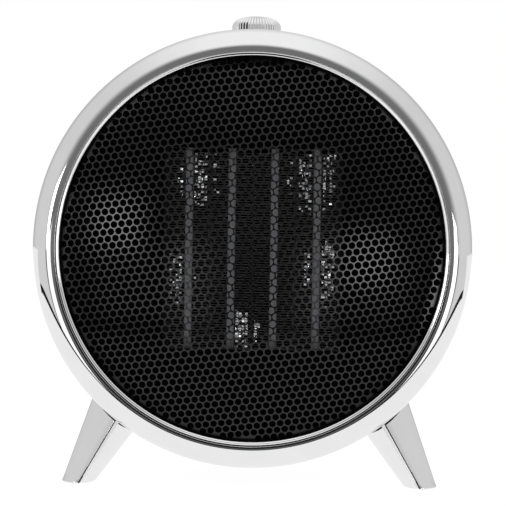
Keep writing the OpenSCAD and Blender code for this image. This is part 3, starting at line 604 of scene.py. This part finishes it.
class HEATER_OT_front_ring(bpy.types.Operator):
    """Turns the thick chrome ring: a rounded crown, a narrow flat and a turned-in inner edge"""

    bl_idname = "heater.front_ring"
    bl_label = "Front ring"

    def execute(self, context):
        s = context.scene.heater_ring
        outer = RING_R
        crown_c = (outer - s.crown, -s.crown)
        wall_r = crown_c[0] - s.face - s.lip
        lip_c = (wall_r + s.lip, -s.lip - s.dip)
        seat = FRONT_Y - SEAT_Y
        flange_r = (GRILLE_HIGH.x - GRILLE_LOW.x) / 2
        back = FRONT_Y - RING_HIGH.y
        inner = outer - s.wall
        edge = 0.5 * MM
        # Over the crown and the flat, down the inner wall, round the bead, back along the inside
        profile = arc(crown_c, s.crown, 0, 90, 64)
        profile += line((crown_c[0], 0), (lip_c[0] + edge, -s.dip), 5)
        profile += arc(lip_c, s.lip, 90, 180, 24)
        sunk, gap = 0.1 * MM, 0.2 * MM
        bead_c = (wall_r + sunk, seat + s.bead + gap)
        profile += line((wall_r, lip_c[1]), (wall_r, bead_c[1] + s.bead), 6)
        profile += arc(bead_c, s.bead, 95, 265, 24)
        profile += [(wall_r, seat), (flange_r, seat), (flange_r, -s.crown)]
        profile += arc(crown_c, s.crown - s.wall, 100, 0, 12)
        profile += [(inner, back + edge)]
        profile += arc((inner + edge, back + edge), edge, 180, 270, 4)[1:]
        profile += arc((outer - edge, back + edge), edge, 270, 360, 4)
        profile += line((outer, back + edge), (outer, -s.crown), 8)
        verts = []
        for i in range(s.steps):
            a = 2 * math.pi * i / s.steps
            verts += [in_drum(r * math.cos(a), r * math.sin(a), h) for r, h in profile]
        faces = round_faces(s.steps, len(profile), closed=True)
        piece = new_object("chrome_ring", verts, faces, [chrome_plate()])
        finish_piece(piece, "heater", "chrome_ring", "front_ring")
        return {"FINISHED"}


class HEATER_OT_grille(bpy.types.Operator):
    """Presses the domed sheet and punches its round holes in staggered rows"""

    bl_idname = "heater.grille"
    bl_label = "Grille"

    def flange(self, verts, faces, rear_of, thickness):
        """Carries the sheet's open edge out flat to the ring's seat, and closes it there."""
        edges = dict.fromkeys(e for face in faces for e in zip(face, face[1:] + face[:1]))
        rim = [(a, b) for a, b in edges if (b, a) not in edges]
        flange_r = (GRILLE_HIGH.x - GRILLE_LOW.x) / 2
        seat = FRONT_Y - SEAT_Y
        outer = {}
        for v in {v for e in rim for v in e}:
            right, up = verts[v].x, verts[v].z - AXIS_H
            grow = flange_r / math.hypot(right, up)
            level = seat if v in rear_of else seat - thickness
            outer[v] = len(verts)
            verts.append(in_drum(right * grow, up * grow, level))
        for a, b in rim:
            faces.append((b, a, outer[a], outer[b]))
        for a, b in rim:
            if a in rear_of:
                faces.append((outer[b], outer[a], outer[rear_of[a]], outer[rear_of[b]]))

    def execute(self, context):
        s = context.scene.heater_grille
        foot_r = RING_R - s.inset
        centre = FRONT_Y - SEAT_Y - math.sqrt(s.dome ** 2 - foot_r ** 2)
        foot_arc = s.dome * math.asin(foot_r / s.dome)
        hole_r = s.hole / 2
        reach = foot_arc - s.border - hole_r
        # Loops from front to back down a hole; None stands for the cell's outline
        levels = (0.0, 0.12 * s.edge, s.edge, s.thickness, s.thickness)
        radii = (None, hole_r + s.edge, hole_r, hole_r, None)
        rear_level = len(levels) - 1
        corners, hex_r = 12, s.pitch / math.sqrt(3)
        turns = [math.radians(360 / corners * k) for k in range(corners)]
        ways = [(math.cos(a), math.sin(a), hex_r if k % 2 else s.pitch / 2)
                for k, a in enumerate(turns)]
        grid, touch = 0.002 * MM, 1e-7
        verts, index, faces = [], {}, []

        def vertex(x, y, level):
            """The number of a point of the dome, from its place on the flat sheet."""
            along = math.hypot(x, y)
            if along > foot_arc:
                x, y = x * foot_arc / along, y * foot_arc / along
            key = (round(x / grid), round(y / grid), level)
            if key not in index:
                index[key] = len(verts)
                lean, shell = math.hypot(x, y) / s.dome, s.dome - levels[level]
                r, a = shell * math.sin(lean), math.atan2(y, x) + s.turn
                forward = centre + shell * math.cos(lean)
                verts.append(in_drum(r * math.cos(a), r * math.sin(a), forward))
            return index[key]

        row_step = s.pitch * math.sin(math.radians(60))
        rows = math.ceil(foot_arc / row_step) + 1
        across = math.ceil(foot_arc / s.pitch) + 1
        for row in range(-rows, rows + 1):
            for i in range(-across, across + 1):
                x, y = (i + abs(row % 2) / 2) * s.pitch, row * row_step
                outline = [(x + far * c, y + far * d) for c, d, far in ways]
                if all(math.hypot(*p) >= foot_arc - touch for p in outline):
                    continue
                if math.hypot(x, y) < reach:
                    loops = [[vertex(px, py, level) for px, py in outline] if radius is None else
                             [vertex(x + radius * c, y + radius * d, level) for c, d, _ in ways]
                             for level, radius in enumerate(radii)]
                    for near, far in zip(loops, loops[1:]):
                        for k in range(corners):
                            m = (k + 1) % corners
                            faces.append((near[k], near[m], far[m], far[k]))
                    continue
                front, rear = (list(dict.fromkeys(vertex(*p, level) for p in outline))
                               for level in (0, rear_level))
                if len(front) > 2:
                    faces += [front, rear[::-1]]
        rear_of = {v: index[kx, ky, rear_level]
                   for (kx, ky, level), v in index.items() if level == 0}
        self.flange(verts, faces, rear_of, s.thickness)
        piece = new_object("punched_grille", verts, faces, [enamelled_sheet()], 30)
        finish_piece(piece, "heater", "black_grille", "grille")
        return {"FINISHED"}


class HEATER_OT_knob(bpy.types.Operator):
    """Turns the plated knob, with grooves that run up its side and over its shoulder"""

    bl_idname = "heater.knob"
    bl_label = "Knob"

    def execute(self, context):
        s = context.scene.heater_knob
        radius = (KNOB_HIGH.x - KNOB_LOW.x) / 2
        height = KNOB_HIGH.z - KNOB_LOW.z
        per_groove = 10
        steps = s.grooves * per_groove
        top_r = radius - s.shoulder
        waist = height - s.drop
        foot, fade, dish = 0.4 * MM, 4 * MM, 0.01 * MM
        outer = arc((radius - foot, foot), foot, -90, 0, 4)
        outer += line((radius, foot), (radius, waist), 8)
        outer += [(top_r + s.shoulder * across, waist + s.drop * up)
                  for across, up in arc((0, 0), 1, 0, 90, 40)]
        outer += [(top_r * 0.7, height - dish), (top_r * 0.3, height - 2 * dish)]
        bore_r, bore_h, hollow_r, hollow_h = 3.2 * MM, 10.8 * MM, 9.6 * MM, 5.2 * MM
        inner = [(bore_r, bore_h), (bore_r, hollow_h), (hollow_r, hollow_h), (hollow_r, 0)]
        verts = []
        for i in range(steps):
            a = 2 * math.pi * i / steps
            groove = (2 * (i % per_groove) / per_groove - 1) ** 2
            for r, h in inner:
                verts.append(KNOB_AXIS + Vector((r * math.cos(a), r * math.sin(a), h)))
            for r, h in outer:
                side = min(1, max(0, (r - top_r) / fade))
                lean = math.atan2(max(0, h - waist) / s.drop, max(dish, r - top_r) / s.shoulder)
                deep = s.depth * groove * side
                rr, hh = r - deep * math.cos(lean), h - deep * math.sin(lean)
                verts.append(KNOB_AXIS + Vector((rr * math.cos(a), rr * math.sin(a), hh)))
        n = len(inner) + len(outer)
        faces = [face[:1] + face[:0:-1] for face in round_faces(steps, n)]
        faces.append([i * n for i in range(steps)][::-1])
        faces.append([i * n + n - 1 for i in range(steps)])
        piece = new_object("grooved_knob", verts, faces, [knob_plate()], 50)
        finish_piece(piece, "knob", "knob_chrome", "control_knob")
        return {"FINISHED"}


class HEATER_OT_legs(bpy.types.Operator):
    """Draws the four tapered legs, cut to the drum above and rounded at the floor"""

    bl_idname = "heater.legs"
    bl_label = "Legs"

    def section(self, bearing, s):
        """Share of the full radius at a bearing from the leg's front: a ridge between two flats."""
        ridge, flats_end = math.degrees(s.ridge), 95
        end = flats_end if bearing > ridge else -flats_end
        middle, half = (ridge + end) / 2, abs(end - ridge) / 2
        off = abs(bearing - middle)
        if off > half:
            return 1
        chord = math.cos(math.radians(half)) / math.cos(math.radians(off))
        return 1 - s.flat * (1 - chord)

    def leg(self, node, way, depth, s, materials):
        """Draws one leg; way is -1 for a leg that leans to the front, 1 for one to the back."""
        low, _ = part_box(node)
        side = 1 if low.x > 0 else -1
        root = in_drum(side * SHELL_R * math.sin(s.place), -SHELL_R * math.cos(s.place), -depth)
        up = Vector((-side * math.tan(s.splay), -way * math.tan(s.rake), 1))
        foot = root - up * root.z
        length = root.z * up.length
        up.normalize()
        grow = (s.top - s.foot) / 2 / length
        across = up.cross(Vector((0, 1, 0))).normalized()
        along = up.cross(across).normalized()
        steps, rise, edge_steps = 240, 24, 6
        softened, foot_flat = range(-9, 10, 3), 0.3
        pad = low.z
        verts, bearings = [], []
        for i in range(steps):
            a = 2 * math.pi * i / steps
            out = across * math.cos(a) + along * math.sin(a)
            bearings.append(math.degrees(math.atan2(out.x * side, -out.y)))
            share = sum(self.section(bearings[-1] + d, s) for d in softened) / len(softened)
            base = foot + out * share * s.foot / 2
            slope = up + out * share * grow
            bottom = (pad - base.z) / slope.z
            top = self.meet_drum(base, slope)
            corner = foot + out * (1 - foot_flat * (1 - share)) * s.foot / 2
            corner += slope * (pad - corner.z) / slope.z
            inward = Vector((foot.x, foot.y, pad)) - corner
            inward.normalize()
            for k in range(edge_steps + 1):
                t = k / edge_steps
                start, end = corner + inward * s.edge, corner + slope.normalized() * s.edge
                verts.append(start * (1 - t) ** 2 + corner * 2 * t * (1 - t) + end * t ** 2)
            begin = bottom + s.edge / slope.length
            for k in range(1, rise + 1):
                verts.append(base + slope * (begin + (top - begin) * k / rise))
        n = edge_steps + 1 + rise
        faces = round_faces(steps, n)
        faces.append([i * n for i in range(steps)])
        faces.append([i * n + n - 1 for i in range(steps)][::-1])
        seam = math.degrees(s.ridge) + softened[-1]
        # Faces in the seam take the painted dark line; those just inside it, the satin plate
        kinds = []
        for i in range(steps):
            past = seam - bearings[i]
            for k in range(n - 1):
                radius = (s.foot + (s.top - s.foot) * max(0, k - edge_steps) / rise) / 2
                across_seam = math.radians(past) * radius
                kinds.append(1 if abs(across_seam) < s.seam / 2 else
                             2 if 0 < across_seam < s.satin else 0)
        piece = new_object(
            f"chrome_{node}", verts, faces, materials, 40, face_materials=kinds + [0, 0])
        finish_piece(piece, "heater", "leg_chrome", node)

    def meet_drum(self, base, slope):
        """How far along a line the drum's outside lies, going up."""
        x, z = base.x, base.z - AXIS_H
        a = slope.x ** 2 + slope.z ** 2
        b = 2 * (x * slope.x + z * slope.z)
        c = x * x + z * z - SHELL_R ** 2
        return (-b - math.sqrt(b * b - 4 * a * c)) / (2 * a)

    def execute(self, context):
        s = context.scene.heater_legs
        materials = [leg_plate(), seam_shadow(), satin_plate()]
        for end, way, depth in (("front", -1, s.front_root), ("back", 1, s.back_root)):
            for side in ("left", "right"):
                self.leg(f"leg_{end}_{side}", way, depth, s, materials)
        return {"FINISHED"}


class HEATER_OT_fins(bpy.types.Operator):
    """Folds the eight strips of fins to and fro between the bars and the dividing plates"""

    bl_idname = "heater.fins"
    bl_label = "Fins"

    def pressed(self, x, z):
        """Share of the fins pressed flat at a place, fading out round each pressed spot."""
        share, reach, fade = 0, 1.25, 0.5
        for right, up, half_w, half_h, most in PRESSED:
            middle = in_drum(right * MM, up * MM, 0)
            away = math.hypot((x - middle.x) / half_w, (z - middle.z) / half_h) / MM
            share = max(share, most * min(1, max(0, (reach - away) / fade)))
        return share

    def fold(self, left, right, bottom, spacing, walls):
        """The folded strip's middle line, from its lowest wall to its highest."""
        path, bend = [], spacing / 2
        for k in range(walls + 1):
            z = bottom + k * spacing
            start, end = (left, right) if k % 2 == 0 else (right, left)
            side = 1 if k % 2 == 0 else -1
            path += [(start, z), ((start + end) / 2, z)]
            if k == walls:
                return path + [(end, z)]
            path += [(end + side * across, z + bend + up)
                     for across, up in arc((0, 0), bend, -90, 90, 6)]

    def flaps(self, left, right, bottom, front, spacing, walls, s):
        """Corners of the flaps where the strip is pressed flat, each leaning its own way."""
        corners, behind = [], 0.35 * MM
        for k in range(walls):
            z = bottom + (k + 0.5) * spacing
            for i in range(int((right - left) / s.flap)):
                x = left + (i + 0.5) * s.flap
                if self.chance.random() > self.pressed(x, z):
                    continue
                lean, turn = self.chance.gauss(0, 0.16), self.chance.gauss(0, 0.2)
                wide, high_half = s.flap * self.chance.uniform(0.3, 0.5), spacing * 0.42
                for u, w in ((-1, -1), (1, -1), (1, 1), (-1, 1)):
                    deep = behind + w * high_half * math.sin(lean) + u * wide * math.sin(turn)
                    corners.append((x + u * wide, front + max(0, deep), z + w * high_half))
        return corners

    def fin(self, number, s, materials):
        low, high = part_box(f"fin_{number}")
        bottom, top = low.z + s.strip / 2, high.z - s.strip / 2 - s.skew
        walls = round((top - bottom) / s.spacing)
        spacing = (top - bottom) / walls
        left = low.x + s.strip / 2 + spacing / 2
        right = high.x - s.strip / 2 - spacing / 2
        path = self.fold(left, right, bottom, spacing, walls)
        verts, faces, last = [], [], len(path) - 1
        for i, (x, z) in enumerate(path):
            before, after = path[max(i - 1, 0)], path[min(i + 1, last)]
            dx, dz = after[0] - before[0], after[1] - before[1]
            long = math.hypot(dx, dz)
            nx, nz = -dz / long * s.strip / 2, dx / long * s.strip / 2
            for y, climb in ((low.y, 0.0), (high.y, s.skew)):
                verts.append((x + nx, y, z + nz + climb))
                verts.append((x - nx, y, z - nz + climb))
        for i in range(last):
            a, b = 4 * i, 4 * i + 4
            faces += [(a, a + 1, b + 1, b), (a + 2, b + 2, b + 3, a + 3),
                      (a, b, b + 2, a + 2), (a + 1, a + 3, b + 3, b + 1)]
        a = 4 * last
        faces += [(0, 2, 3, 1), (a, a + 1, a + 3, a + 2)]
        flaps = self.flaps(left, right, bottom, low.y, spacing, walls, s)
        pressed = [tuple(range(n, n + 4)) for n in range(len(verts), len(verts) + len(flaps), 4)]
        kinds = [0] * len(faces) + [1] * len(pressed)
        piece = new_object(f"folded_fin_{number}", verts + flaps, faces + pressed, materials,
                           face_materials=kinds)
        finish_piece(piece, "heater", "fin_aluminium", f"fin_{number}")

    def execute(self, context):
        s = context.scene.heater_fins
        materials = [fin_strip(), flattened_strip()]
        self.chance = random.Random(7)
        for number in range(1, 9):
            self.fin(number, s, materials)
        return {"FINISHED"}


class HEATER_OT_finishes(bpy.types.Operator):
    """Gives the drum, cover, heating block, fan, motor and controls their finishes"""

    bl_idname = "heater.finishes"
    bl_label = "Finishes"

    def execute(self, context):
        finishes = node_materials()
        slot_of = {s["node"]: s["material_slot"] for s in frame["record"]["subparts"]}
        # Painted shade: the dividing and side plates are near black, standing in for shade inside
        # the block
        sheet = rolled_metal("Aluminium sheet, near black as painted shade", "#1C1C1E", "#343436", 0.45, 0.6)
        for node, piece in frame["nodes"].items():
            finish = finishes.get(slot_of[node])
            if node.startswith(("divider", "side_plate")):
                finish = sheet
            if finish:
                if not piece.material_slots:
                    piece.data.materials.append(finish)
                for slot in piece.material_slots:
                    slot.material = finish
                piece.data.set_sharp_from_angle(angle=math.radians(35))
        return {"FINISHED"}


# Studio


def ray_kinds(tree):
    """1 for a ray that the camera sends, and 1 for one that a mirror or clear piece sends on."""
    rays = add(tree, "LightPath").node.outputs
    return rays["Is Camera Ray"], add(
        tree, "Math", rays["Is Glossy Ray"], rays["Is Transmission Ray"], operation="MAXIMUM")


def studio_world(settings):
    """White behind the heater, an even light on it, and a plain studio in its reflections."""
    world = bpy.data.worlds.new("Studio")
    bpy.context.scene.world = world
    world.use_nodes = True
    tree = world.node_tree
    tree.nodes.clear()
    way = add(tree, "TexCoord").node.outputs["Generated"]
    x, y, z = add(tree, "SeparateXYZ", way).node.outputs

    # In degrees: off the line to the camera, above level, and sideways from that line and from up
    forward = add(tree, "Math", y, -1.0, operation="MULTIPLY")
    angles = [add(tree, "Math", forward, operation="ARCCOSINE"),
              add(tree, "Math", z, operation="ARCSINE")]
    for along in (forward, z):
        turned = add(tree, "Math", x, along, operation="ARCTAN2")
        angles.append(add(tree, "Math", turned, operation="ABSOLUTE"))
    off_axis, height, beyond, side = (add(tree, "Math", a, operation="DEGREES") for a in angles)

    # A bright ceiling, darker to the sides, with the dark space round the camera in its middle
    beside = zone(tree, (side, 8.0, 50.0))
    ceiling = mix(tree, beside, 0.99, 0.71)
    lit = zone(tree, (off_axis, 11.0, mix(tree, beside, 30.0, 46.0)))
    behind = mix(tree, zone(tree, (off_axis, 100.0, 155.0)), 1.0, 0.72)
    ceiling = add(tree, "Math", mix(tree, lit, 0.18, ceiling), behind, operation="MULTIPLY")
    # Dark below the table, and a low window to each side of the camera with a dark bar on top
    below = zone(tree, (height, -1.9, -2.7), (off_axis, 40.0, 34.0))
    bar, pane = (zone(tree, (beyond, 7.5, 9.5), (beyond, 33.0, 31.0), (height, *edge))
                 for edge in ((0.4, 0.0), (-0.4, -0.8)))
    mirrored = mix(tree, bar, mix(tree, below, ceiling, 0.02), 0.05)
    mirrored = mix(tree, pane, mirrored, 1.2)
    camera, mirror = ray_kinds(tree)
    value = mix(tree, camera, mix(tree, mirror, settings.room, mirrored), 1.0)
    add(tree, "OutputWorld", add(tree, "Background", value, 1.0))


def floor_material(settings):
    """A white table: it keeps the heater's shadow, and its front edge shows in the chrome."""
    material = bpy.data.materials.new("Table, white, matt")
    material.use_nodes = True
    tree = material.node_tree
    tree.nodes.clear()
    place = add(tree, "NewGeometry").node.outputs["Position"]
    x, y, _ = add(tree, "SeparateXYZ", place).node.outputs
    half_width, depth, rim = 0.52, 0.30, 1.22
    across = add(tree, "Math", x, half_width, operation="DIVIDE")
    forward = add(tree, "Math", y, 0.0, operation="MINIMUM")
    reach = distance(tree, across, add(tree, "Math", forward, depth, operation="DIVIDE"))
    in_front = add(tree, "Math", y, 0.0, operation="LESS_THAN")
    past_edge, past_rim = (
        add(tree, "Math", add(tree, "Math", reach, limit, operation="GREATER_THAN"), in_front,
            operation="MULTIPLY") for limit in (1.0, rim))
    matt = add(tree, "BsdfDiffuse", list(settings.floor_white) + [1.0])
    glow, table, edge = (add(tree, "Emission", (1, 1, 1, 1), light) for light in (1.2, 0.96, 0.01))
    seen = add(tree, "MixShader", 0.8, matt, glow)
    mirrored = add(tree, "MixShader", past_edge, table, edge)
    mirrored = add(tree, "MixShader", past_rim, mirrored, add(tree, "BsdfTransparent"))
    camera, mirror = ray_kinds(tree)
    plain = add(tree, "MixShader", camera, matt, seen)
    add(tree, "OutputMaterial", add(tree, "MixShader", mirror, plain, mirrored))
    return material


class HEATER_OT_studio(bpy.types.Operator):
    """Lays the white floor, hangs the two front lamps and sets the camera"""

    bl_idname = "heater.studio"
    bl_label = "Studio"

    def floor(self, settings):
        half = 3.0
        corners = [(-half, -half, 0), (half, -half, 0), (half, half, 0), (-half, half, 0)]
        floor = new_object("floor", corners, [(0, 1, 2, 3)], [floor_material(settings)])

    def lamp(self, name, bearing, height, size, strength):
        """A square softbox on a stand in front of the heater, aimed at its grille."""
        away = 1.2
        way = direction(math.radians(bearing), math.radians(height))
        light = bpy.data.lights.new(name, "AREA")
        light.size = size
        light.energy = strength * math.pi * size ** 2
        lamp = bpy.data.objects.new(name, light)
        lamp.location = in_drum(0, 0, 0) + way * away
        lamp.rotation_euler = way.to_track_quat("Z", "Y").to_euler()
        lamp.visible_camera = False
        bpy.context.scene.collection.objects.link(lamp)

    def camera(self, settings):
        data = bpy.data.cameras.new("camera")
        data.lens = settings.lens
        data.sensor_width = 36
        camera = bpy.data.objects.new("camera", data)
        bpy.context.scene.collection.objects.link(camera)
        back = direction(settings.azimuth, settings.elevation)
        turn = back.to_track_quat("Z", "Y") @ Quaternion((0, 0, 1), settings.roll)
        right, up = turn @ Vector((1, 0, 0)), turn @ Vector((0, 1, 0))
        # The ring's middle and radius in the picture, in its pixels, where the ring is widest
        picture, ring_x, ring_y, ring_r, widest = 506, 252.2, 249.65, 219.7, 8.3 * MM
        size = RING_R / ring_r
        middle = in_drum(0, 0, -widest)
        aim = middle - right * (ring_x - picture / 2) * size + up * (ring_y - picture / 2) * size
        camera.matrix_world = Matrix.LocRotScale(aim + back * settings.distance, turn, None)
        bpy.context.scene.camera = camera

    def execute(self, context):
        settings = context.scene.heater_studio
        context.scene.view_settings.view_transform = "Standard"
        studio_world(settings)
        self.floor(settings)
        self.lamp("lamp_right", 25, -3.5, 0.24, 0.3 * settings.lamp)
        self.lamp("lamp_left", -30.6, 3.5, 0.22, 0.42 * settings.lamp)
        self.camera(settings)
        return {"FINISHED"}


class HEATER_PT_panel(bpy.types.Panel):
    """Lists the heater's operators and sizes"""

    bl_idname = "HEATER_PT_panel"
    bl_label = "Ceramic heater"
    bl_space_type = "VIEW_3D"
    bl_region_type = "UI"
    bl_category = "Heater"

    def draw(self, context):
        for name, group in GROUPS.items():
            box = self.layout.box()
            box.label(text=group.__name__)
            for prop in group.__annotations__:
                box.prop(getattr(context.scene, name), prop)
        for operator in OPERATORS:
            self.layout.operator(operator.bl_idname)


GROUPS = {
    "heater_ring": RingSizes,
    "heater_grille": GrilleSizes,
    "heater_fins": FinSizes,
    "heater_knob": KnobSizes,
    "heater_legs": LegSizes,
    "heater_studio": StudioSettings,
}
OPERATORS = (
    HEATER_OT_front_ring,
    HEATER_OT_grille,
    HEATER_OT_knob,
    HEATER_OT_legs,
    HEATER_OT_fins,
    HEATER_OT_finishes,
    HEATER_OT_studio,
)


def register():
    for name, group in GROUPS.items():
        bpy.utils.register_class(group)
        setattr(bpy.types.Scene, name, PointerProperty(type=group))
    for cls in OPERATORS + (HEATER_PT_panel,):
        bpy.utils.register_class(cls)


def unregister():
    for cls in (HEATER_PT_panel,) + OPERATORS[::-1]:
        bpy.utils.unregister_class(cls)
    for name, group in GROUPS.items():
        delattr(bpy.types.Scene, name)
        bpy.utils.unregister_class(group)


def main():
    register()
    bpy.ops.heater.front_ring()
    bpy.ops.heater.grille()
    bpy.ops.heater.knob()
    bpy.ops.heater.legs()
    bpy.ops.heater.fins()
    bpy.ops.heater.finishes()
    bpy.ops.heater.studio()


if __name__ == "__main__":
    main()
